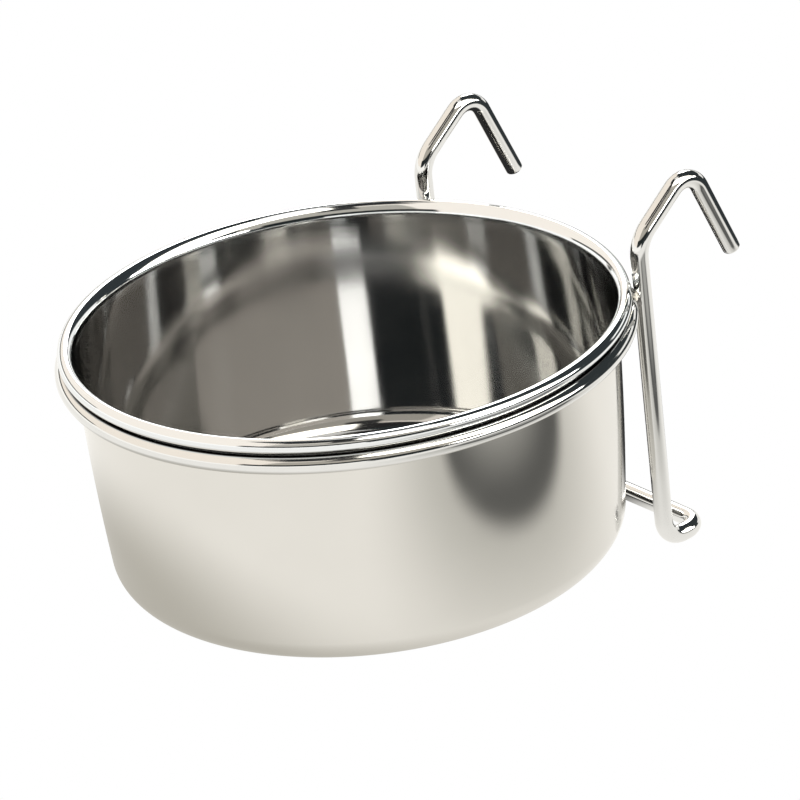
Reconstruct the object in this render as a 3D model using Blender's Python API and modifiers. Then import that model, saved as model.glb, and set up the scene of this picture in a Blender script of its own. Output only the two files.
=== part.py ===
"""A stainless feeding cup and the bent-wire holder that hooks it onto a cage.

The cup is one pressed sheet with a tapered wall and a rolled rim. Its rim rests on a round-wire ring. A
second wire, bent into two hooks, two uprights and a crossbar, is welded to the back of the ring. The cup
lifts straight up out of the ring.

Units are metres, +Z is up and +Y points at the cage. The origin is the middle of the cup's underside.
"""

import math

import bmesh
import bpy
from mathutils import Vector

COLLECTION_NAME = "feeding_cup"

# The cup: one drawn sheet, with a wall that leans outwards and a rim rolled outwards into a bead.
RIM_DIAMETER = 0.1232
CUP_HEIGHT = 0.0549
BEAD_RADIUS = 0.0016
SHEET = 0.0006
WALL_OUTER_RADIUS_AT_BEAD = 0.0584
WALL_TAPER = math.radians(2.8)
CORNER_OUTER_RADIUS = 0.0060
FLARE_RADIUS = 0.0035
CURL_END_ANGLE = math.radians(-150)

# The holder: 4 mm wire.
WIRE_RADIUS = 0.0020
RING_RADIUS = 0.0606
RUNNING_GAP = 0.0003
UPRIGHT_HALF_SPACING = 0.0362
UPRIGHT_REACH = 0.0641

# The hooks, measured from the upright's own line and from the height of the rim's bead.
HOOK_BEND_ABOVE_BEAD = 0.0089
HOOK_PEAK_OUT = 0.0158
HOOK_PEAK_ABOVE_BEAD = 0.0214
HOOK_TIP_OUT = 0.0262
HOOK_TIP_BELOW_BEAD = 0.0020
HOOK_LOWER_BEND_RADIUS = 0.0080
HOOK_PEAK_BEND_RADIUS = 0.0050

# The feet and the crossbar, below the cup's underside.
FOOT_OUT = 0.0106
FOOT_BELOW_CUP = 0.0094
FOOT_BEND_RADIUS = 0.0048

# The welds between the ring and the uprights.
WELD_CLEARANCE = 0.0002
WELD_HALF_RADIAL = 0.0020
WELD_HALF_WIDTH = 0.0034
WELD_HALF_HEIGHT = 0.0029
WELD_DROP = 0.0005

# How finely round shapes are cut.
CUP_STEPS = 64
RING_STEPS = 96
WIRE_SIDES = 12
BEND_STEP = math.radians(15)

# Worked out from the sizes above.
BEAD_CENTRE_RADIUS = RIM_DIAMETER / 2 - BEAD_RADIUS
BEAD_Z = CUP_HEIGHT - BEAD_RADIUS
RING_OFFSET = BEAD_CENTRE_RADIUS - RING_RADIUS
RING_Z = BEAD_Z - math.sqrt((BEAD_RADIUS + WIRE_RADIUS + RUNNING_GAP) ** 2 - RING_OFFSET**2)
UPRIGHT_Y = math.sqrt(UPRIGHT_REACH**2 - UPRIGHT_HALF_SPACING**2)
FOOT_Z = -FOOT_BELOW_CUP
SIDES = {"left": -1, "right": 1}

METALLIC = 1.0
FINISHES = {
    "satin_sheet": {"colour": (0.74, 0.74, 0.72, 1.0), "roughness": 0.24},
    "bright_wire": {"colour": (0.80, 0.80, 0.79, 1.0), "roughness": 0.10},
    "weld_metal": {"colour": (0.52, 0.51, 0.49, 1.0), "roughness": 0.35},
}


def clear_scene():
    for thing in list(bpy.data.objects):
        bpy.data.objects.remove(thing)


def new_collection(name, hidden):
    collection = bpy.data.collections.new(name)
    bpy.context.scene.collection.children.link(collection)
    collection.hide_render = hidden
    return collection


def steel(node, finish):
    """A Principled material of its own for one piece of steel."""
    look = FINISHES[finish]
    material = bpy.data.materials.new(node + "_" + finish)
    material.use_nodes = True
    shader = material.node_tree.nodes["Principled BSDF"]
    shader.inputs["Base Color"].default_value = look["colour"]
    shader.inputs["Roughness"].default_value = look["roughness"]
    shader.inputs["Metallic"].default_value = METALLIC
    return material


def place(thing, collection):
    """Moves an object into one collection only."""
    for owner in list(thing.users_collection):
        owner.objects.unlink(thing)
    collection.objects.link(thing)


def arc(centre, radius, start, end, step):
    """Points of an arc in the plane, both ends included."""
    count = max(1, math.ceil(abs(end - start) / step))
    angles = [start + (end - start) * i / count for i in range(count + 1)]
    return [(centre[0] + radius * math.cos(a), centre[1] + radius * math.sin(a)) for a in angles]


# The cup


def cup_profile():
    """(radius, height) points of the sheet's inner face, from the floor's middle to the end of the curl.

    The wall leans outwards. The flare and the curl above it bend the same way, and they meet where the
    flare's circle, which holds the bead's circle, touches it.
    """
    outward = Vector((math.cos(WALL_TAPER), -math.sin(WALL_TAPER)))
    upward = Vector((math.sin(WALL_TAPER), math.cos(WALL_TAPER)))
    wall_top = Vector((WALL_OUTER_RADIUS_AT_BEAD, BEAD_Z)) - outward * SHEET

    corner = CORNER_OUTER_RADIUS - SHEET
    corner_z = SHEET + corner
    lean = (wall_top.y - corner_z) * math.sin(WALL_TAPER)
    corner_centre = (wall_top.x - (corner + lean) / math.cos(WALL_TAPER), corner_z)

    bead_centre = Vector((BEAD_CENTRE_RADIUS, BEAD_Z))
    bead_out = (bead_centre - wall_top).dot(outward)
    bead_up = (bead_centre - wall_top).dot(upward)
    flare_down = math.sqrt((FLARE_RADIUS - BEAD_RADIUS) ** 2 - (FLARE_RADIUS - bead_out) ** 2)
    flare_centre = wall_top + outward * FLARE_RADIUS + upward * (bead_up - flare_down)
    to_bead = bead_centre - flare_centre
    meeting = math.atan2(to_bead.y, to_bead.x)

    points = [(0.0, SHEET)]
    points += arc(corner_centre, corner, -math.pi / 2, -WALL_TAPER, BEND_STEP)
    points += arc(flare_centre, FLARE_RADIUS, math.pi - WALL_TAPER, meeting, BEND_STEP)
    curl_step = BEND_STEP * 1.5
    points += arc(bead_centre, BEAD_RADIUS, meeting, CURL_END_ANGLE, curl_step)[1:]
    return points


def make_cup(parts):
    """The profile, turned about the axis and given the sheet's thickness below and outside it."""
    mesh = bpy.data.meshes.new("cup")
    profile = bmesh.new()
    verts = [profile.verts.new((radius, 0.0, height)) for radius, height in reversed(cup_profile())]
    for first, second in zip(verts, verts[1:]):
        profile.edges.new((first, second))
    profile.to_mesh(mesh)
    profile.free()

    cup = bpy.data.objects.new("cup", mesh)
    parts.objects.link(cup)
    turn = cup.modifiers.new("turn", "SCREW")
    turn.steps = CUP_STEPS
    turn.render_steps = CUP_STEPS
    turn.use_merge_vertices = True
    turn.merge_threshold = 0.00005
    turn.use_normal_flip = True
    turn.use_smooth_shade = True
    sheet = cup.modifiers.new("sheet", "SOLIDIFY")
    sheet.thickness = SHEET
    sheet.offset = -1.0
    sheet.use_even_offset = True
    cup.data.materials.append(steel("cup", "satin_sheet"))
    return cup


# The wires


def rounded_path(corners, radii, step):
    """A path through corner points, each inner corner replaced by an arc of its own radius."""
    path = [Vector(corners[0])]
    for before, corner, after, radius in zip(corners, corners[1:], corners[2:], radii):
        corner = Vector(corner)
        inward = (Vector(before) - corner).normalized()
        onward = (Vector(after) - corner).normalized()
        half_angle = inward.angle(onward) / 2
        towards_centre = (inward + onward).normalized()
        centre = corner + towards_centre * (radius / math.sin(half_angle))
        start = corner + inward * (radius / math.tan(half_angle)) - centre
        turn = math.pi - 2 * half_angle
        normal = start.cross(-inward).normalized()
        sideways = normal.cross(start)
        count = max(1, math.ceil(turn / step))
        for i in range(count + 1):
            angle = turn * i / count
            path.append(centre + start * math.cos(angle) + sideways * math.sin(angle))
    path.append(Vector(corners[-1]))
    return path


def hanger_corners():
    """The hanger wire's corner points, from the left hook's tip to the right hook's tip."""
    half_hook = [
        (UPRIGHT_Y + HOOK_TIP_OUT, BEAD_Z - HOOK_TIP_BELOW_BEAD),
        (UPRIGHT_Y + HOOK_PEAK_OUT, BEAD_Z + HOOK_PEAK_ABOVE_BEAD),
        (UPRIGHT_Y, BEAD_Z + HOOK_BEND_ABOVE_BEAD),
        (UPRIGHT_Y, FOOT_Z),
        (UPRIGHT_Y + FOOT_OUT, FOOT_Z),
    ]
    left = [(-UPRIGHT_HALF_SPACING, y, z) for y, z in half_hook]
    right = [(UPRIGHT_HALF_SPACING, y, z) for y, z in reversed(half_hook)]
    return left + right


def make_hanger_wire(parts):
    """One bent wire: hook, upright, foot, crossbar, and the same again the other way."""
    half_radii = [HOOK_PEAK_BEND_RADIUS, HOOK_LOWER_BEND_RADIUS, FOOT_BEND_RADIUS, FOOT_BEND_RADIUS]
    radii = half_radii + half_radii[::-1]
    path = rounded_path(hanger_corners(), radii, BEND_STEP)

    curve = bpy.data.curves.new("hanger_wire", "CURVE")
    curve.dimensions = "3D"
    curve.bevel_depth = WIRE_RADIUS
    curve.bevel_resolution = (WIRE_SIDES - 4) // 2
    curve.use_fill_caps = True
    spline = curve.splines.new("POLY")
    spline.points.add(len(path) - 1)
    for point, place_on_path in zip(spline.points, path):
        point.co = (*place_on_path, 1.0)
        # A turn of half a facet puts a flat side, not an edge, at the front and back of the wire.
        point.tilt = math.pi / WIRE_SIDES
    wire = bpy.data.objects.new("hanger_wire", curve)
    parts.objects.link(wire)
    wire.data.materials.append(steel("hanger_wire", "bright_wire"))
    return wire


def make_torus(name, tube_radius, collection):
    bpy.ops.mesh.primitive_torus_add(
        location=(0.0, 0.0, RING_Z),
        major_segments=RING_STEPS,
        minor_segments=WIRE_SIDES,
        major_radius=RING_RADIUS,
        minor_radius=tube_radius,
    )
    torus = bpy.context.active_object
    torus.name = name
    torus.data.shade_smooth()
    place(torus, collection)
    return torus


def make_upright_cutter(side, clearance, cutters):
    """A rod along an upright, as wide as its wire and the clearance around it."""
    height = 4 * WELD_HALF_HEIGHT
    bpy.ops.mesh.primitive_cylinder_add(
        vertices=24,
        radius=WIRE_RADIUS + clearance,
        depth=height,
        location=(SIDES[side] * UPRIGHT_HALF_SPACING, UPRIGHT_Y, RING_Z),
    )
    cutter = bpy.context.active_object
    cutter.name = "upright_cutter_" + side
    as_cutter(cutter, cutters)
    return cutter


def as_cutter(thing, cutters):
    thing.hide_render = True
    thing.display_type = "WIRE"
    place(thing, cutters)


def cut(thing, cutter):
    boolean = thing.modifiers.new("cut_" + cutter.name, "BOOLEAN")
    boolean.operation = "DIFFERENCE"
    boolean.solver = "EXACT"
    boolean.object = cutter


def make_ring(parts, upright_cutters):
    """The ring, pressed in slightly where each upright is welded to it."""
    ring = make_torus("holder_ring", WIRE_RADIUS, parts)
    for cutter in upright_cutters.values():
        cut(ring, cutter)
    ring.data.materials.append(steel("holder_ring", "bright_wire"))
    return ring


def make_weld(side, parts, ring_cutter, upright_cutter):
    """A nugget where an upright crosses the ring, hollowed by both wires."""
    outward = Vector((SIDES[side] * UPRIGHT_HALF_SPACING, UPRIGHT_Y, 0.0)).normalized()
    crossing = (RING_RADIUS + UPRIGHT_REACH) / 2
    nugget = bmesh.new()
    bmesh.ops.create_uvsphere(nugget, u_segments=24, v_segments=16, radius=1.0)
    bmesh.ops.scale(nugget, vec=(WELD_HALF_RADIAL, WELD_HALF_WIDTH, WELD_HALF_HEIGHT), verts=nugget.verts)
    name = "ring_weld_" + side
    mesh = bpy.data.meshes.new(name)
    nugget.to_mesh(mesh)
    nugget.free()
    mesh.shade_smooth()

    weld = bpy.data.objects.new(name, mesh)
    weld.location = outward * crossing + Vector((0.0, 0.0, RING_Z - WELD_DROP))
    weld.rotation_euler.z = math.atan2(outward.y, outward.x)
    parts.objects.link(weld)
    cut(weld, ring_cutter)
    cut(weld, upright_cutter)
    weld.data.materials.append(steel(name, "weld_metal"))
    return weld


def add_empty(name, collection):
    empty = bpy.data.objects.new(name, None)
    collection.objects.link(empty)
    return empty


def main():
    clear_scene()
    parts = new_collection(COLLECTION_NAME, hidden=False)
    cutters = new_collection(COLLECTION_NAME + "_cutters", hidden=True)

    holder = add_empty("holder", parts)
    cup_axis = add_empty("cup_lift_axis", parts)
    cup_axis.parent = holder

    cup = make_cup(parts)
    cup.parent = cup_axis

    upright_cutters = {side: make_upright_cutter(side, WELD_CLEARANCE, cutters) for side in SIDES}
    ring_cutter = make_torus("ring_cutter", WIRE_RADIUS + WELD_CLEARANCE, cutters)
    as_cutter(ring_cutter, cutters)

    holder_pieces = [make_ring(parts, upright_cutters), make_hanger_wire(parts)]
    for side, upright_cutter in upright_cutters.items():
        holder_pieces.append(make_weld(side, parts, ring_cutter, upright_cutter))
    for piece in holder_pieces:
        piece.parent = holder


main()
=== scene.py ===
"""The looks of the hook-on feeding cup: fine meshes, stainless steel and a white studio.

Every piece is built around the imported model, in metres, and rides on its body. Overall sizes and places
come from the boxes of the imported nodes, and the named values below give the rest. The studio is described
as the camera sees it: right, away and up.
"""

import math

import bmesh
import bpy
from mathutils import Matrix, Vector, noise


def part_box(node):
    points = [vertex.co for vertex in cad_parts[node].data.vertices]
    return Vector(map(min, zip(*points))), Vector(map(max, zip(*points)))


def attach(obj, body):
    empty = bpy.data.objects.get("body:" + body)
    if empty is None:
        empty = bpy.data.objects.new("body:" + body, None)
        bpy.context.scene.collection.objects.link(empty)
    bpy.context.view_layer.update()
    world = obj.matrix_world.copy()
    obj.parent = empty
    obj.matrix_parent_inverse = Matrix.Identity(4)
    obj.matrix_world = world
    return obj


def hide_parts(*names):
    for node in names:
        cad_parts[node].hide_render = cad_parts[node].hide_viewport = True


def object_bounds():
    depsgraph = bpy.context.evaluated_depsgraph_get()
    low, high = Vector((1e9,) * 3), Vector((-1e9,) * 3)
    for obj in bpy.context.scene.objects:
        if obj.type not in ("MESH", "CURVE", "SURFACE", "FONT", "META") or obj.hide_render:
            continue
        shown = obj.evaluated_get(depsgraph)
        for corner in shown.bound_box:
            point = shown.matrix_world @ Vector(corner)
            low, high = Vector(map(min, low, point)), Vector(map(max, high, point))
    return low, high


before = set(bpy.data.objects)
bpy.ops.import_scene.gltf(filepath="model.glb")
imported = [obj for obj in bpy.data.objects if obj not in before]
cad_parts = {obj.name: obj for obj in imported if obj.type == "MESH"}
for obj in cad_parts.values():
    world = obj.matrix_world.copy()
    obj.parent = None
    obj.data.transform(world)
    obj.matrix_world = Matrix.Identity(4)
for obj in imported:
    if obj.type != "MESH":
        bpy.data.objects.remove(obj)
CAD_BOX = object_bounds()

MM = 0.001

# The camera: where it stands, seen from the middle of the rim, and where the rim sits in its picture.
CAMERA_AZIMUTH = math.radians(54.1)
CAMERA_ELEVATION = math.radians(24.34)
CAMERA_ROLL = math.radians(-6.96)
CAMERA_DISTANCE = 1.0
CAMERA_SENSOR_WIDTH = 36.0
CAMERA_LENS = 211.2
CAMERA_SHIFT = (0.0703, -0.1002)
CAMERA_NEAREST = 0.05
CAMERA_FARTHEST = 20.0

# The cup's sheet. Its wall is a shallow arc that leans out more at its foot than at its top.
BEAD_RADIUS = 1.6 * MM
SHEET = 0.6 * MM
RIM_OVERHANG = 3.2 * MM
WALL_TOP_TAPER = math.radians(0.8)
WALL_FOOT_TAPER = math.radians(4.8)
CORNER_OUTER_RADIUS = 6.0 * MM
FLARE_RADIUS = 3.5 * MM
CURL_END_ANGLE = math.radians(-150)
DENT_DEPTH = 0.015 * MM
DENT_SIZE = 28 * MM

# How far below the bead's centre the rim's brighter steel starts, and how far the painted shade in the groove
# reaches.
RIM_DEPTH = 2.2 * MM
RIM_FADE = 1.0 * MM
GROOVE_REACH = 1.0 * MM
GROOVE_FADE = 0.3 * MM

# The hanger wire, measured from the uprights and from the rim's bead.
CAD_WIRE_SIDES = 12
HOOK_BEND_ABOVE_BEAD = 8.9 * MM
HOOK_PEAK_OUT = 15.8 * MM
HOOK_PEAK_ABOVE_BEAD = 21.4 * MM
HOOK_TIP_OUT = 26.2 * MM
HOOK_TIP_BELOW_BEAD = 2.0 * MM
HOOK_LOWER_BEND_RADIUS = 8.0 * MM
HOOK_PEAK_BEND_RADIUS = 5.0 * MM
FOOT_OUT = 10.6 * MM
FOOT_BEND_RADIUS = 4.8 * MM
CUT_END_ROUNDING = 0.5 * MM

# The welds.
WELD_CORE_DEPTH = 0.08 * MM
WELD_REACH = 4.0 * MM
WELD_HALF_SIZE = Vector((1.7, 2.7, 2.5)) * MM
WELD_DROP = 0.3 * MM
WELD_SWELL = 0.12
WELD_SWELL_SCALE = 1.7
WELD_VOXEL = 0.14 * MM
WELD_SOFTENING = 0.5
WELD_SOFTENING_ROUNDS = 8
SIDES = {"left": -1, "right": 1}

# How finely shapes are cut, and how near the axis a point counts as on it.
CUP_STEPS = 288
RING_STEPS = 288
SHEET_EDGE_STEPS = 8
WIRE_SIDES = 32
CUT_END_STEPS = 6
WELD_ROD_SIDES = 24
STRAIGHT_STEP = 2 * MM
BEND_STEP = math.radians(4)
BEAD_STEP = math.radians(8)
ON_AXIS = 1e-9

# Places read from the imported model. Points of the cup's and the ring's section are (radius, height).
CUP_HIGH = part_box("cup")[1]
RING_LOW, RING_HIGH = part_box("holder_ring")
HANGER_LOW, HANGER_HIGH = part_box("hanger_wire")
BEAD_CENTRE = Vector((CUP_HIGH.x - BEAD_RADIUS, CUP_HIGH.z - BEAD_RADIUS))
WALL_TOP = Vector((CUP_HIGH.x - RIM_OVERHANG, BEAD_CENTRE.y))
WIRE_RADIUS = (RING_HIGH.z - RING_LOW.z) / 2
RING_RADIUS = RING_HIGH.x - WIRE_RADIUS
RING_Z = (RING_HIGH.z + RING_LOW.z) / 2
CAD_WIRE_HALF_WIDTH = WIRE_RADIUS * math.cos(math.pi / CAD_WIRE_SIDES)
UPRIGHT_X = HANGER_HIGH.x - CAD_WIRE_HALF_WIDTH
UPRIGHT_Y = HANGER_LOW.y + CAD_WIRE_HALF_WIDTH
FOOT_Z = HANGER_LOW.z + CAD_WIRE_HALF_WIDTH

# The steels. Each pair is for the two ends of a steel's mottling. Noise scales are per metre, and the
# noise's own values lie mostly within its range.
NOISE_RANGE = (0.3, 0.7)
INSIDE_COLOURS = ((0.58, 0.58, 0.575), (0.55, 0.55, 0.545))
INSIDE_ROUGHNESS = (0.06, 0.09)
OUTSIDE_COLOURS = ((0.77, 0.755, 0.72), (0.72, 0.705, 0.67))
OUTSIDE_ROUGHNESS = (0.10, 0.14)
RIM_COLOUR = (0.83, 0.85, 0.865)
# The colour of the painted shade in the groove between the rim's bead and the ring, where the two shade each
# other.
GROOVE_SHADE_COLOUR = (0.06, 0.06, 0.058)
SMUDGE_SCALE = 45.0
SPIN_LINES_AROUND = 2.0
SPIN_LINES_ACROSS = 2600.0
SPIN_LINES_BUMP = 0.05
SHEET_GRAIN_SCALE = 900.0
SHEET_GRAIN_BUMP = 0.03
SHEET_ANISOTROPY = 0.6
SHEET_ANISOTROPY_TURN = 0.25
FINE_BUMP_HEIGHT = 0.02 * MM

WIRE_COLOURS = ((0.80, 0.80, 0.79), (0.74, 0.74, 0.73))
WIRE_ROUGHNESS = (0.05, 0.13)
WIRE_SPOT_SCALE = 160.0
WIRE_SPOT_RANGE = (0.35, 0.75)
WIRE_GRAIN_SCALE = 1400.0
WIRE_GRAIN_BUMP = 0.03

WELD_COLOURS = ((0.46, 0.45, 0.43), (0.17, 0.16, 0.15))
WELD_ROUGHNESS = (0.12, 0.30)
WELD_PATCH_SCALE = 260.0
WELD_RIPPLE_SCALE = 900.0
WELD_RIPPLE_BUMP = 0.25
WELD_RIPPLE_HEIGHT = 0.1 * MM

# The camera's level directions, the colour that it sees around the object, and how often light is followed
# from mirror to mirror.
RIGHT = Vector((math.cos(CAMERA_AZIMUTH), math.sin(CAMERA_AZIMUTH), 0.0))
AWAY = Vector((-math.sin(CAMERA_AZIMUTH), math.cos(CAMERA_AZIMUTH), 0.0))
WHITE = (1.0, 1.0, 1.0)
MIRROR_BOUNCES = 12


# Meshes


def new_piece(name, mesh, material):
    mesh.shade_smooth()
    mesh.materials.append(material)
    piece = bpy.data.objects.new(name, mesh)
    bpy.context.scene.collection.objects.link(piece)
    return piece


def mesh_from(name, verts, faces):
    mesh = bpy.data.meshes.new(name)
    mesh.from_pydata(verts, [], faces)
    mesh.update()
    return mesh


def arc(centre, radius, start, end, step, offset_sign):
    """Points of an arc, each with the sheet's direction: from the centre outwards, times offset_sign."""
    count = max(1, math.ceil(abs(end - start) / step))
    points = []
    for i in range(count + 1):
        angle = start + (end - start) * i / count
        outward = Vector((math.cos(angle), math.sin(angle)))
        points.append((Vector(centre) + outward * radius, outward * offset_sign))
    return points


def floor_line(radius):
    """Points of the cup's floor from its middle, without its rim, each with the sheet below it."""
    middle, rim = Vector((0.0, SHEET)), Vector((radius, SHEET))
    count = math.ceil(radius / STRAIGHT_STEP)
    return [(middle.lerp(rim, i / count), Vector((0.0, -1.0))) for i in range(count)]


def flare_centre_and_start(outward, upward):
    """The flare's arc: its centre, and where it leaves the wall so that it meets the bead smoothly."""
    wall_top = WALL_TOP - outward * SHEET
    bead_out = (BEAD_CENTRE - wall_top).dot(outward)
    bead_up = (BEAD_CENTRE - wall_top).dot(upward)
    flare_down = math.sqrt((FLARE_RADIUS - BEAD_RADIUS) ** 2 - (FLARE_RADIUS - bead_out) ** 2)
    start = wall_top + upward * (bead_up - flare_down)
    return start + outward * FLARE_RADIUS, start


def cup_section():
    """The sheet's inner face, from the floor's middle to the end of the curl: (point, sheet direction)."""
    top_angle, foot_angle = -WALL_TOP_TAPER, -WALL_FOOT_TAPER
    top_outward = Vector((math.cos(top_angle), math.sin(top_angle)))
    top_upward = Vector((-math.sin(top_angle), math.cos(top_angle)))
    foot_outward = Vector((math.cos(foot_angle), math.sin(foot_angle)))

    flare_centre, flare_start = flare_centre_and_start(top_outward, top_upward)
    to_bead = BEAD_CENTRE - flare_centre
    meeting = math.atan2(to_bead.y, to_bead.x)

    corner_radius = CORNER_OUTER_RADIUS - SHEET
    foot_z = SHEET + corner_radius * (1 + math.sin(foot_angle))
    wall_radius = (flare_start.y - foot_z) / (math.sin(top_angle) - math.sin(foot_angle))
    wall_centre = flare_start - top_outward * wall_radius
    wall_step = STRAIGHT_STEP / wall_radius
    corner_centre = wall_centre + foot_outward * (wall_radius - corner_radius)

    section = floor_line(corner_centre.x)
    section += arc(corner_centre, corner_radius, -math.pi / 2, foot_angle, BEND_STEP, 1)
    section += arc(wall_centre, wall_radius, foot_angle, top_angle, wall_step, 1)[1:]
    section += arc(flare_centre, FLARE_RADIUS, math.pi + top_angle, meeting, BEND_STEP, -1)[1:]
    section += arc(BEAD_CENTRE, BEAD_RADIUS, meeting, CURL_END_ANGLE, BEAD_STEP, -1)[1:]
    return section


def turned(loop, steps):
    """Verts and faces of a closed loop of (radius, height), turned about Z; points on Z are shared."""
    verts, faces, rings = [], [], []
    for radius, height in loop:
        if radius < ON_AXIS:
            rings.append([len(verts)] * steps)
            verts.append((0.0, 0.0, height))
            continue
        rings.append(range(len(verts), len(verts) + steps))
        for i in range(steps):
            angle = 2 * math.pi * i / steps
            verts.append((radius * math.cos(angle), radius * math.sin(angle), height))
    for ring, after in zip(rings, rings[1:] + rings[:1]):
        for i in range(steps):
            j = (i + 1) % steps
            corners = (ring[i], after[i], after[j], ring[j])
            unique = list(dict.fromkeys(corners))
            if len(unique) > 2:
                faces.append(unique)
    return verts, faces


def clamped(share):
    return min(1.0, max(0.0, share))


def dented(point):
    """A point of the cup, moved by the shallow unevenness that pressing leaves in its wall."""
    flat = Vector((point[0], point[1], 0.0))
    radius = flat.length
    if radius < ON_AXIS:
        return point
    height_share = clamped((point[2] - CORNER_OUTER_RADIUS) / CORNER_OUTER_RADIUS)
    depth = DENT_DEPTH * height_share * noise.noise(Vector(point) / DENT_SIZE)
    moved = flat * (1 + depth / radius)
    return (moved.x, moved.y, point[2])


def sheet_edge(end, normal):
    """The half circle that closes the sheet past its last point, without either end."""
    centre = end + normal * SHEET / 2
    start = math.atan2(-normal.y, -normal.x)
    angles = [start - math.pi * i / SHEET_EDGE_STEPS for i in range(1, SHEET_EDGE_STEPS)]
    return [centre + Vector((math.cos(angle), math.sin(angle))) * SHEET / 2 for angle in angles]


def make_cup(material):
    """The cup: one sheet turned about Z, with its outside, its rim and the groove's painted shade marked."""
    section = cup_section()
    inner = [point for point, _ in section]
    outer = [point + normal * SHEET for point, normal in section]
    edge = sheet_edge(*section[-1])
    loop = inner + edge + outer[::-1]
    verts, faces = turned([(p.x, p.y) for p in loop], CUP_STEPS)
    mesh = mesh_from("feeding_cup", [dented(v) for v in verts], faces)
    on_outside = [0.0] * (len(inner) + len(edge)) + [1.0] * len(outer)
    add_attribute(mesh, "outside", loop, on_outside, CUP_STEPS)
    add_attribute(mesh, "rim", loop, [on_rim(p) for p in loop], CUP_STEPS)
    add_attribute(mesh, "groove", loop, [groove_shade_share(p) for p in loop], CUP_STEPS)
    return new_piece("feeding_cup", mesh, material)


def add_attribute(mesh, name, loop, shares, steps):
    """Stores one value per point of a turned loop, all the way round."""
    values = []
    for point, share in zip(loop, shares):
        values += [share] * (1 if point[0] < ON_AXIS else steps)
    mesh.attributes.new(name, "FLOAT", "POINT").data.foreach_set("value", values)


def on_rim(point):
    """1 on the flare and the bead, 0 on the wall below them."""
    return clamped((point.y - WALL_TOP.y + RIM_DEPTH) / RIM_FADE)


def groove_shade_share(point):
    """Share of painted shade: 1 deep in the groove between the rim's bead and the ring, 0 a little way out of
    it.
    """
    down_to_ring = Vector((RING_RADIUS, RING_Z)) - BEAD_CENTRE
    groove = BEAD_CENTRE + down_to_ring.normalized() * BEAD_RADIUS
    distance = (Vector(point) - groove).length
    return clamped((GROOVE_REACH - distance) / GROOVE_FADE)


def make_ring(material):
    """The hoop of round wire under the bead, with the groove's painted shade marked."""
    loop = []
    for i in range(WIRE_SIDES):
        angle = -2 * math.pi * i / WIRE_SIDES
        loop.append((RING_RADIUS + WIRE_RADIUS * math.cos(angle), RING_Z + WIRE_RADIUS * math.sin(angle)))
    verts, faces = turned(loop, RING_STEPS)
    mesh = mesh_from("wire_ring", verts, faces)
    add_attribute(mesh, "groove", loop, [groove_shade_share(p) for p in loop], RING_STEPS)
    return new_piece("wire_ring", mesh, material)


def rounded_path(corners, radii):
    """A path through corner points: an arc at each inner corner and short steps along the straights."""
    path = [Vector(corners[0])]
    for before, corner, after, radius in zip(corners, corners[1:], corners[2:], radii):
        corner = Vector(corner)
        inward = (Vector(before) - corner).normalized()
        onward = (Vector(after) - corner).normalized()
        half_angle = inward.angle(onward) / 2
        centre = corner + (inward + onward).normalized() * (radius / math.sin(half_angle))
        start = corner + inward * (radius / math.tan(half_angle)) - centre
        turn = math.pi - 2 * half_angle
        normal = start.cross(-inward).normalized()
        sideways = normal.cross(start)
        extend_straight(path, centre + start)
        count = max(1, math.ceil(turn / BEND_STEP))
        for i in range(1, count + 1):
            angle = turn * i / count
            path.append(centre + start * math.cos(angle) + sideways * math.sin(angle))
    extend_straight(path, Vector(corners[-1]))
    return path


def extend_straight(path, end):
    """Adds short steps to a path, up to and with the end point."""
    start = path[-1].copy()
    count = max(1, math.ceil((end - start).length / STRAIGHT_STEP))
    path.extend(start.lerp(end, i / count) for i in range(1, count + 1))


def hanger_corners():
    """The hanger wire's corners, from the left hook's tip to the right one's."""
    bead_z = BEAD_CENTRE.y
    half_hook = [
        (UPRIGHT_Y + HOOK_TIP_OUT, bead_z - HOOK_TIP_BELOW_BEAD),
        (UPRIGHT_Y + HOOK_PEAK_OUT, bead_z + HOOK_PEAK_ABOVE_BEAD),
        (UPRIGHT_Y, bead_z + HOOK_BEND_ABOVE_BEAD),
        (UPRIGHT_Y, FOOT_Z),
        (UPRIGHT_Y + FOOT_OUT, FOOT_Z),
    ]
    left = [(-UPRIGHT_X, y, z) for y, z in half_hook]
    right = [(UPRIGHT_X, y, z) for y, z in reversed(half_hook)]
    return left + right


def rounded_end(tip, inner):
    """(point, share of the wire's radius) from a cut end inwards, along the rounding of its edge."""
    inward = (inner - tip).normalized()
    stations = []
    for i in range(CUT_END_STEPS, -1, -1):
        angle = math.pi / 2 * i / CUT_END_STEPS
        depth = CUT_END_ROUNDING * (1 - math.sin(angle))
        share = 1 - CUT_END_ROUNDING * (1 - math.cos(angle)) / WIRE_RADIUS
        stations.append((tip + inward * depth, share))
    return stations


def with_rounded_ends(path):
    """(point, share of the wire's radius) along a path, with both cut ends' edges rounded."""
    middle = [(point, 1.0) for point in path[1:-1]]
    start, finish = rounded_end(path[0], path[1]), rounded_end(path[-1], path[-2])
    return start + middle + finish[::-1]


def swept(stations, sides):
    """Verts and faces of a round wire along stations of (point, share of the wire's radius)."""
    points = [point for point, _ in stations]
    tangent = (points[1] - points[0]).normalized()
    across = tangent.orthogonal().normalized()
    verts = []
    for i, (point, share) in enumerate(stations):
        before = points[max(0, i - 1)]
        after = points[min(len(points) - 1, i + 1)]
        tangent = (after - before).normalized()
        across = (across - tangent * across.dot(tangent)).normalized()
        up = tangent.cross(across)
        for j in range(sides):
            angle = 2 * math.pi * j / sides
            spoke = across * math.cos(angle) + up * math.sin(angle)
            verts.append(point + spoke * WIRE_RADIUS * share)
    faces = []
    for i in range(len(stations) - 1):
        for j in range(sides):
            k = (j + 1) % sides
            faces.append((i * sides + j, i * sides + k, (i + 1) * sides + k, (i + 1) * sides + j))
    faces.append(tuple(reversed(range(sides))))
    faces.append(tuple(range((len(stations) - 1) * sides, len(stations) * sides)))
    return verts, faces


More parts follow.
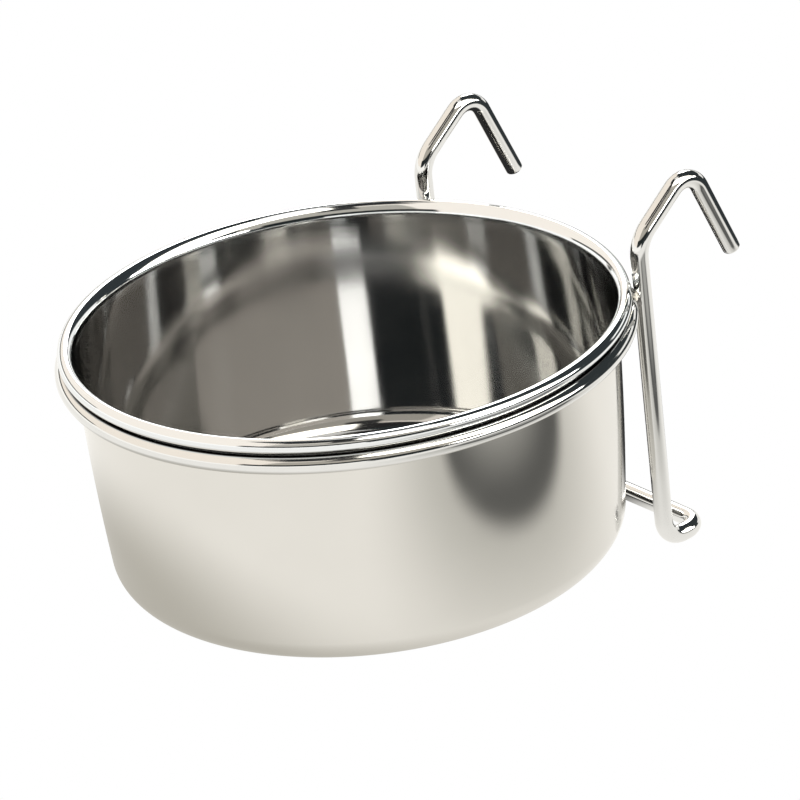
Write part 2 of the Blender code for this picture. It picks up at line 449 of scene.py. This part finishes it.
def make_hanger(material):
    """The bent wire: two hooks, two uprights, two feet and the crossbar."""
    half_radii = [HOOK_PEAK_BEND_RADIUS, HOOK_LOWER_BEND_RADIUS, FOOT_BEND_RADIUS, FOOT_BEND_RADIUS]
    path = rounded_path(hanger_corners(), half_radii + half_radii[::-1])
    verts, faces = swept(with_rounded_ends(path), WIRE_SIDES)
    return new_piece("hook_wire", mesh_from("hook_wire", verts, faces), material)


def add_rod(target, start, end, radius):
    """A capped round rod between two points, added to a bmesh."""
    axis = Vector(end) - Vector(start)
    turn = axis.to_track_quat("Z", "Y").to_matrix().to_4x4()
    turn.translation = (Vector(start) + Vector(end)) / 2
    bmesh.ops.create_cone(
        target,
        segments=WELD_ROD_SIDES,
        radius1=radius,
        radius2=radius,
        depth=axis.length,
        cap_ends=True,
        matrix=turn,
    )


def make_weld(side, material):
    """A nugget between an upright and the ring, run into the corners between the two wires.

    Rods just under the skin of both wires are melted together with it. They stay hidden, and make the
    nugget's edge flow out along the wires.
    """
    upright = Vector((SIDES[side] * UPRIGHT_X, UPRIGHT_Y, 0.0))
    middle_angle = math.atan2(upright.y, upright.x)
    radial = upright.normalized()
    tangent = Vector((-radial.y, radial.x, 0.0))
    crossing = radial * (RING_RADIUS + upright.length) / 2 + Vector((0.0, 0.0, RING_Z - WELD_DROP))
    core = WIRE_RADIUS - WELD_CORE_DEPTH

    lump = bmesh.new()
    nugget = bmesh.ops.create_icosphere(lump, subdivisions=4, radius=1.0)["verts"]
    for vert in nugget:
        local = vert.co.copy()
        swell = 1 + WELD_SWELL * noise.noise(local * WELD_SWELL_SCALE + Vector((SIDES[side], 0.0, 0.0)))
        size = WELD_HALF_SIZE * swell
        offset = radial * (local.x * size.x) + tangent * (local.y * size.y)
        vert.co = crossing + offset + Vector((0.0, 0.0, local.z * size.z))

    foot = upright + Vector((0.0, 0.0, RING_Z))
    reach = Vector((0.0, 0.0, WELD_REACH))
    add_rod(lump, foot - reach, foot + reach, core)
    half_turn = WELD_REACH / RING_RADIUS
    ring_points = [
        Vector((RING_RADIUS * math.cos(angle), RING_RADIUS * math.sin(angle), RING_Z))
        for angle in (middle_angle + half_turn * share for share in (-1.0, -0.5, 0.0, 0.5, 1.0))
    ]
    for start, end in zip(ring_points, ring_points[1:]):
        add_rod(lump, start, end, core)

    name = "weld_collar_" + side
    mesh = bpy.data.meshes.new(name)
    lump.to_mesh(mesh)
    lump.free()
    weld = new_piece(name, mesh, material)
    remesh = weld.modifiers.new("melt", "REMESH")
    remesh.mode = "VOXEL"
    remesh.voxel_size = WELD_VOXEL
    remesh.use_smooth_shade = True
    soften = weld.modifiers.new("soften", "SMOOTH")
    soften.factor = WELD_SOFTENING
    soften.iterations = WELD_SOFTENING_ROUNDS
    apply_modifiers(weld)
    return weld


def apply_modifiers(piece):
    """Replaces a piece's mesh by what its modifiers make of it."""
    depsgraph = bpy.context.evaluated_depsgraph_get()
    final = bpy.data.meshes.new_from_object(piece.evaluated_get(depsgraph))
    final.name = piece.name
    piece.modifiers.clear()
    piece.data = final


# Materials

# Which sockets of Blender's Mix node are the share and the colours.
MIX_SHARE_INPUT = 0
MIX_COLOUR_INPUTS = (6, 7)
MIX_COLOUR_OUTPUT = 2

# Keeps a division near the axis from failing.
LEAST_DIVISOR = 1e-5


class Nodes:
    """Adds nodes to one tree and links them, so that a material reads as a list of steps."""

    def __init__(self, tree):
        self.tree = tree
        tree.nodes.clear()

    def add(self, kind, settings=None, **inputs):
        """A node with its settings and inputs; an underscore in an input's name stands for a space."""
        node = self.tree.nodes.new(kind)
        for name, value in (settings or {}).items():
            setattr(node, name, value)
        for name, value in inputs.items():
            self.connect(node.inputs[name.replace("_", " ")], value)
        return node

    def connect(self, socket, value):
        if isinstance(value, bpy.types.NodeSocket):
            self.tree.links.new(value, socket)
        else:
            socket.default_value = value

    def linked(self, kind, values, **settings):
        """A node whose first inputs take these values, in order."""
        node = self.add(kind, settings)
        for socket, value in zip(node.inputs, values):
            self.connect(socket, value)
        return node

    def math(self, operation, *values):
        return self.linked("ShaderNodeMath", values, operation=operation).outputs[0]

    def dot(self, vector, direction):
        node = self.linked("ShaderNodeVectorMath", (vector, direction), operation="DOT_PRODUCT")
        return node.outputs["Value"]

    def length(self, vector):
        return self.linked("ShaderNodeVectorMath", (vector,), operation="LENGTH").outputs["Value"]

    def ramp(self, value, low, high, to_low=0.0, to_high=1.0, kind="SMOOTHSTEP"):
        """Value between low and high, mapped to to_low and to_high, and held beyond them."""
        values = (value, low, high, to_low, to_high)
        return self.linked("ShaderNodeMapRange", values, interpolation_type=kind).outputs[0]

    def mix_colour(self, share, first, second):
        """First where share is 0, second where it is 1. Each is a socket or (red, green, blue)."""
        node = self.add("ShaderNodeMix", {"data_type": "RGBA"})
        self.connect(node.inputs[MIX_SHARE_INPUT], share)
        for index, colour in zip(MIX_COLOUR_INPUTS, (first, second)):
            self.connect(node.inputs[index], (*colour, 1.0) if isinstance(colour, tuple) else colour)
        return node.outputs[MIX_COLOUR_OUTPUT]

    def noise(self, vector, scale, detail=2.0, roughness=0.5):
        inputs = {"Vector": vector, "Scale": scale, "Detail": detail, "Roughness": roughness}
        return self.add("ShaderNodeTexNoise", **inputs).outputs[0]

    def vector(self, x, y, z):
        return self.add("ShaderNodeCombineXYZ", X=x, Y=y, Z=z).outputs[0]

    def place(self):
        return self.add("ShaderNodeTexCoord").outputs["Object"]

    def attribute(self, name):
        return self.add("ShaderNodeAttribute", {"attribute_name": name}).outputs["Fac"]

    def seen_by_camera(self):
        return self.add("ShaderNodeLightPath").outputs["Is Camera Ray"]

    def bump(self, height, strength, reach, **inputs):
        node = self.add("ShaderNodeBump", Height=height, Strength=strength, Distance=reach, **inputs)
        return node.outputs[0]

    def metal(self, colour, roughness, normal, **inputs):
        """Ends a material with bare metal."""
        shader = self.add(
            "ShaderNodeBsdfPrincipled",
            Base_Color=colour,
            Metallic=1.0,
            Roughness=roughness,
            Normal=normal,
            **inputs,
        )
        self.add("ShaderNodeOutputMaterial", Surface=shader.outputs[0])


def new_material(name):
    material = bpy.data.materials.new(name)
    material.use_nodes = True
    return material, Nodes(material.node_tree)


def around_axis(nodes, place, around, across):
    """Coordinates in which noise becomes lines around the Z axis: slow around it, fast across."""
    x, y, z = nodes.add("ShaderNodeSeparateXYZ", Vector=place).outputs
    length = nodes.length(nodes.vector(x, y, 0.0))
    divisor = nodes.math("MAXIMUM", length, LEAST_DIVISOR)
    around_x = nodes.math("MULTIPLY", nodes.math("DIVIDE", x, divisor), around)
    around_y = nodes.math("MULTIPLY", nodes.math("DIVIDE", y, divisor), around)
    section = nodes.math("MULTIPLY", nodes.math("ADD", z, length), across)
    return nodes.vector(around_x, around_y, section)


def with_painted_groove_shade(nodes, colour):
    """Paints shade into the steel's colour in the groove under the rim's bead, where the bead and the ring
    shade each other.
    """
    return nodes.mix_colour(nodes.attribute("groove"), colour, GROOVE_SHADE_COLOUR)


def cup_steel():
    """Stainless sheet: mirror-polished inside, brighter on the rim, fine satin outside, and painted shade in
    the groove under the bead.
    """
    material, nodes = new_material("polished_and_satin_stainless")
    place = nodes.place()
    outside = nodes.attribute("outside")
    smudges = nodes.noise(place, SMUDGE_SCALE, detail=3.0)
    grain = nodes.noise(place, SHEET_GRAIN_SCALE)
    circles = around_axis(nodes, place, SPIN_LINES_AROUND, SPIN_LINES_ACROSS)
    lines = nodes.noise(circles, 1.0, detail=3.0, roughness=0.6)

    inside_rough = nodes.ramp(smudges, *NOISE_RANGE, *INSIDE_ROUGHNESS)
    outside_rough = nodes.ramp(smudges, *NOISE_RANGE, *OUTSIDE_ROUGHNESS)
    roughness = nodes.ramp(outside, 0.0, 1.0, inside_rough, outside_rough, kind="LINEAR")

    inside_colour = nodes.mix_colour(smudges, *INSIDE_COLOURS)
    outside_colour = nodes.mix_colour(smudges, *OUTSIDE_COLOURS)
    colour = nodes.mix_colour(outside, inside_colour, outside_colour)
    colour = nodes.mix_colour(nodes.attribute("rim"), colour, RIM_COLOUR)
    # Painted shade in the groove under the bead.
    colour = with_painted_groove_shade(nodes, colour)

    line_bump = nodes.bump(lines, SPIN_LINES_BUMP, FINE_BUMP_HEIGHT)
    grain_strength = nodes.math("MULTIPLY", outside, SHEET_GRAIN_BUMP)
    bump = nodes.bump(grain, grain_strength, FINE_BUMP_HEIGHT, Normal=line_bump)
    tangent = nodes.add("ShaderNodeTangent", {"direction_type": "RADIAL", "axis": "Z"}).outputs[0]
    spin = {"Anisotropic": SHEET_ANISOTROPY, "Anisotropic_Rotation": SHEET_ANISOTROPY_TURN}
    nodes.metal(colour, roughness, bump, Tangent=tangent, **spin)
    return material


def wire_steel():
    """Bright drawn wire with a fine grain and a few duller spots, and painted shade in the groove under the
    rim's bead.
    """
    material, nodes = new_material("bright_stainless_wire")
    place = nodes.place()
    spots = nodes.noise(place, WIRE_SPOT_SCALE, detail=3.0)
    grain = nodes.noise(place, WIRE_GRAIN_SCALE)
    roughness = nodes.ramp(spots, *WIRE_SPOT_RANGE, *WIRE_ROUGHNESS)
    # Painted shade on the ring, in the groove under the bead.
    colour = with_painted_groove_shade(nodes, nodes.mix_colour(spots, *WIRE_COLOURS))
    nodes.metal(colour, roughness, nodes.bump(grain, WIRE_GRAIN_BUMP, FINE_BUMP_HEIGHT))
    return material


def weld_steel():
    """Weld metal: rippled, duller and darker than the wire, with burnt patches."""
    material, nodes = new_material("weld_metal")
    place = nodes.place()
    ripples = nodes.noise(place, WELD_RIPPLE_SCALE, detail=3.0)
    patches = nodes.noise(place, WELD_PATCH_SCALE)
    roughness = nodes.ramp(patches, *NOISE_RANGE, *WELD_ROUGHNESS)
    colour = nodes.mix_colour(patches, *WELD_COLOURS)
    nodes.metal(colour, roughness, nodes.bump(ripples, WELD_RIPPLE_BUMP, WELD_RIPPLE_HEIGHT))
    return material


# The studio

# The room around the object is dark, apart from these walls. The azimuth is 0 straight away from the camera
# and grows to the right; elevations are above the horizon, all in degrees. A wall covers those before it.
ROOM_LIGHT = (0.035, 0.042, 0.045)
WALLS = [
    # The bright left half of the room, and its whiter foot.
    {"azimuth": -92, "half_width": 90, "low": -30, "high": 70, "light": (1.10, 1.01, 0.90)},
    {"azimuth": -95, "half_width": 88, "low": -30, "high": 10, "light": (1.2, 1.18, 1.13)},
    # Low beyond the cup: a bright wall to the right, and a dark strip to the left and above it.
    {"azimuth": 30, "half_width": 30, "low": -30, "high": 11, "light": (1.05, 1.04, 1.0)},
    {"azimuth": -22, "half_width": 42, "low": 10, "high": 15.5, "light": (0.03, 0.035, 0.035)},
    # Behind the camera: a grey wall with a dark band along its foot.
    {"azimuth": 178, "half_width": 40, "low": 14, "high": 55, "light": (0.50, 0.47, 0.41)},
    {"azimuth": -172, "half_width": 38, "low": 8, "high": 23, "light": (0.02, 0.025, 0.025)},
    # A light beyond the cup, and a stronger low one on the right.
    {"azimuth": 10, "half_width": 12, "low": 15.5, "high": 45, "light": (5.2, 5.15, 5.0)},
    {"azimuth": 114, "half_width": 30, "low": 10, "high": 17, "light": (10.0, 9.8, 9.3)},
    # The ceiling, its dark part behind the camera, and a small dark patch below that.
    {"azimuth": 55, "half_width": 90, "low": 76, "high": 95, "light": (0.95, 0.93, 0.89)},
    {"azimuth": -172, "half_width": 47, "low": 60, "high": 95, "light": (0.03, 0.03, 0.03)},
    {"azimuth": -176, "half_width": 10, "low": 43, "high": 62, "light": (0.04, 0.04, 0.04)},
]
WALL_SOFTNESS = math.radians(1.0)

# The key light is a flat softbox that leans to the right. Its half sizes are measured at a distance of 1, and
# KEY_LEAST_AHEAD keeps directions behind it from meeting it.
KEY_AZIMUTH = math.radians(119)
KEY_ELEVATION = math.radians(46)
KEY_LEAN = math.radians(32)
KEY_HALF_WIDTH = 0.27
KEY_HALF_HEIGHT = 0.75
KEY_SOFTNESS = 0.05
KEY_LEAST_AHEAD = 0.01
KEY_LIGHT = (4.6, 4.4, 3.9)

# The floor that reflections see: a white table that ends on the far right, with shades and dark patches on
# it. The discs' places and sizes are in millimetres, and a disc covers those before it.
FLOOR_Z = CAD_BOX[0].z - 0.1 * MM
FLOOR_RADIUS = 4.0
FLOOR_SIDES = 64
TABLE_LIGHT = (1.04, 1.02, 0.975)
TABLE_EDGE_AZIMUTH = math.radians(62)
TABLE_EDGE_DISTANCE = 250 * MM
TABLE_EDGE_SOFTNESS = 30 * MM
DISCS = [
    # The cup's own shade.
    {"right": -35, "away": 5, "radius": 75, "softness": 27, "light": (0.60, 0.58, 0.53)},
    # A dark patch in front on the right, with a soft shade around it and a paler middle.
    {"right": 134, "away": -114, "radius": 102, "softness": 45, "light": (0.62, 0.61, 0.57)},
    {"right": 150, "away": -110, "radius": 78, "softness": 8, "light": (0.12, 0.12, 0.115)},
    {"right": 166, "away": -128, "radius": 60, "softness": 26, "light": (0.44, 0.435, 0.41)},
    # A dark patch under the cup's far side and beyond it.
    {"right": 22, "away": 90, "radius": 75, "softness": 10, "light": (0.03, 0.03, 0.03)},
]


def towards(azimuth):
    """The level direction at an azimuth."""
    return RIGHT * math.sin(azimuth) + AWAY * math.cos(azimuth)


def wall_mask(nodes, heading, elevation, wall):
    """1 inside the wall's range of directions, 0 outside it, with soft edges."""
    azimuth = math.radians(wall["azimuth"])
    half_width = math.radians(wall["half_width"])
    low, high = math.radians(wall["low"]), math.radians(wall["high"])
    along = nodes.dot(heading, towards(azimuth))
    aside = nodes.dot(heading, towards(azimuth + math.pi / 2))
    turn = nodes.math("ABSOLUTE", nodes.math("ARCTAN2", aside, along))
    soft = WALL_SOFTNESS
    sideways = nodes.ramp(turn, half_width - soft, half_width + soft, 1.0, 0.0)
    above = nodes.ramp(elevation, low - soft, low + soft)
    below = nodes.ramp(elevation, high - soft, high + soft, 1.0, 0.0)
    return nodes.math("MULTIPLY", sideways, nodes.math("MULTIPLY", above, below))


def key_mask(nodes, direction):
    """1 where a direction meets the key softbox, 0 elsewhere."""
    level = towards(KEY_AZIMUTH)
    middle = level * math.cos(KEY_ELEVATION) + Vector((0.0, 0.0, math.sin(KEY_ELEVATION)))
    flat_side = towards(KEY_AZIMUTH + math.pi / 2)
    flat_up = flat_side.cross(middle)
    side = flat_side * math.cos(KEY_LEAN) - flat_up * math.sin(KEY_LEAN)
    upward = flat_up * math.cos(KEY_LEAN) + flat_side * math.sin(KEY_LEAN)
    ahead = nodes.math("MAXIMUM", nodes.dot(direction, middle), KEY_LEAST_AHEAD)
    mask = 1.0
    for axis, half_size in ((side, KEY_HALF_WIDTH), (upward, KEY_HALF_HEIGHT)):
        offset = nodes.math("ABSOLUTE", nodes.math("DIVIDE", nodes.dot(direction, axis), ahead))
        inside = nodes.ramp(offset, half_size - KEY_SOFTNESS, half_size + KEY_SOFTNESS, 1.0, 0.0)
        mask = nodes.math("MULTIPLY", inside, mask)
    return mask


def make_world():
    """The studio as reflections see it; the camera itself sees plain white."""
    world = bpy.data.worlds.new("studio")
    world.use_nodes = True
    bpy.context.scene.world = world
    nodes = Nodes(world.node_tree)
    direction = nodes.add("ShaderNodeTexCoord").outputs["Generated"]
    upward = nodes.dot(direction, (0.0, 0.0, 1.0))
    elevation = nodes.math("ARCSINE", upward)
    x, y, _ = nodes.add("ShaderNodeSeparateXYZ", Vector=direction).outputs
    flat = nodes.vector(x, y, 0.0)
    heading = nodes.add("ShaderNodeVectorMath", {"operation": "NORMALIZE"}, Vector=flat).outputs[0]

    colour = ROOM_LIGHT
    for wall in WALLS:
        colour = nodes.mix_colour(wall_mask(nodes, heading, elevation, wall), colour, wall["light"])
    colour = nodes.mix_colour(key_mask(nodes, direction), colour, KEY_LIGHT)
    colour = nodes.mix_colour(nodes.seen_by_camera(), colour, WHITE)
    background = nodes.add("ShaderNodeBackground", Color=colour)
    nodes.add("ShaderNodeOutputWorld", Surface=background.outputs[0])


def disc_mask(nodes, position, disc):
    """1 on a disc of the floor, 0 beyond its soft edge."""
    middle = (RIGHT * disc["right"] + AWAY * disc["away"]) * MM
    ends = (position, (middle.x, middle.y, FLOOR_Z))
    offset = nodes.linked("ShaderNodeVectorMath", ends, operation="SUBTRACT").outputs[0]
    distance = nodes.length(offset)
    radius, soft = disc["radius"] * MM, disc["softness"] * MM
    return nodes.ramp(distance, radius - soft, radius + soft, 1.0, 0.0)


def floor_material():
    """White to the camera; reflections see the table, and from below the floor isn't there."""
    material, nodes = new_material("white_floor")
    geometry = nodes.add("ShaderNodeNewGeometry")
    position, from_below = geometry.outputs["Position"], geometry.outputs["Backfacing"]
    colour = TABLE_LIGHT
    for disc in DISCS:
        colour = nodes.mix_colour(disc_mask(nodes, position, disc), colour, disc["light"])
    reach = nodes.dot(position, towards(TABLE_EDGE_AZIMUTH))
    edge_low = TABLE_EDGE_DISTANCE - TABLE_EDGE_SOFTNESS
    beyond = nodes.ramp(reach, edge_low, TABLE_EDGE_DISTANCE + TABLE_EDGE_SOFTNESS)
    colour = nodes.mix_colour(beyond, colour, ROOM_LIGHT)
    colour = nodes.mix_colour(nodes.seen_by_camera(), colour, WHITE)
    emission = nodes.add("ShaderNodeEmission", Color=colour).outputs[0]
    clear = nodes.add("ShaderNodeBsdfTransparent").outputs[0]
    surface = nodes.linked("ShaderNodeMixShader", (from_below, emission, clear)).outputs[0]
    nodes.add("ShaderNodeOutputMaterial", Surface=surface)
    return material


def make_floor():
    """A round floor, just below the object."""
    bpy.ops.mesh.primitive_circle_add(
        vertices=FLOOR_SIDES, radius=FLOOR_RADIUS, fill_type="NGON", location=(0.0, 0.0, FLOOR_Z)
    )
    floor = bpy.context.active_object
    floor.name = "floor"
    floor.data.materials.append(floor_material())


def make_camera():
    """A long lens, aimed past the rim's middle so that the cup sits left of the picture's centre."""
    elevation, roll = CAMERA_ELEVATION, CAMERA_ROLL
    back = -AWAY * math.cos(elevation) + Vector((0.0, 0.0, math.sin(elevation)))
    upright = RIGHT.cross(-back)
    across = RIGHT * math.cos(roll) + upright * math.sin(roll)
    upwards = upright * math.cos(roll) - RIGHT * math.sin(roll)
    camera = bpy.data.objects.new("camera", bpy.data.cameras.new("camera"))
    bpy.context.scene.collection.objects.link(camera)
    target = Vector((0.0, 0.0, BEAD_CENTRE.y))
    for column, axis in enumerate((across, upwards, back, target + back * CAMERA_DISTANCE)):
        for row in range(3):
            camera.matrix_world[row][column] = axis[row]
    camera.data.sensor_width = CAMERA_SENSOR_WIDTH
    camera.data.lens = CAMERA_LENS
    camera.data.shift_x, camera.data.shift_y = CAMERA_SHIFT
    camera.data.clip_start = CAMERA_NEAREST
    camera.data.clip_end = CAMERA_FARTHEST
    bpy.context.scene.camera = camera


def set_look():
    """Plain colours, and enough bounces for the steel's reflections of itself."""
    scene = bpy.context.scene
    scene.view_settings.view_transform = "Standard"
    scene.cycles.glossy_bounces = MIRROR_BOUNCES
    scene.cycles.max_bounces = MIRROR_BOUNCES


def main():
    sheet = cup_steel()
    wire = wire_steel()
    weld_metal = weld_steel()

    cup = make_cup(sheet)
    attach(cup, "cup")
    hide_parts("cup")

    holder_pieces = [
        (make_ring(wire), "holder_ring", "holder_wire"),
        (make_hanger(wire), "hanger_wire", "holder_wire"),
    ]
    for side in SIDES:
        holder_pieces.append((make_weld(side, weld_metal), "ring_weld_" + side, "weld_metal"))
    for piece, node, slot in holder_pieces:
        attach(piece, "holder")
        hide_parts(node)

    make_world()
    make_floor()
    make_camera()
    set_look()


main()
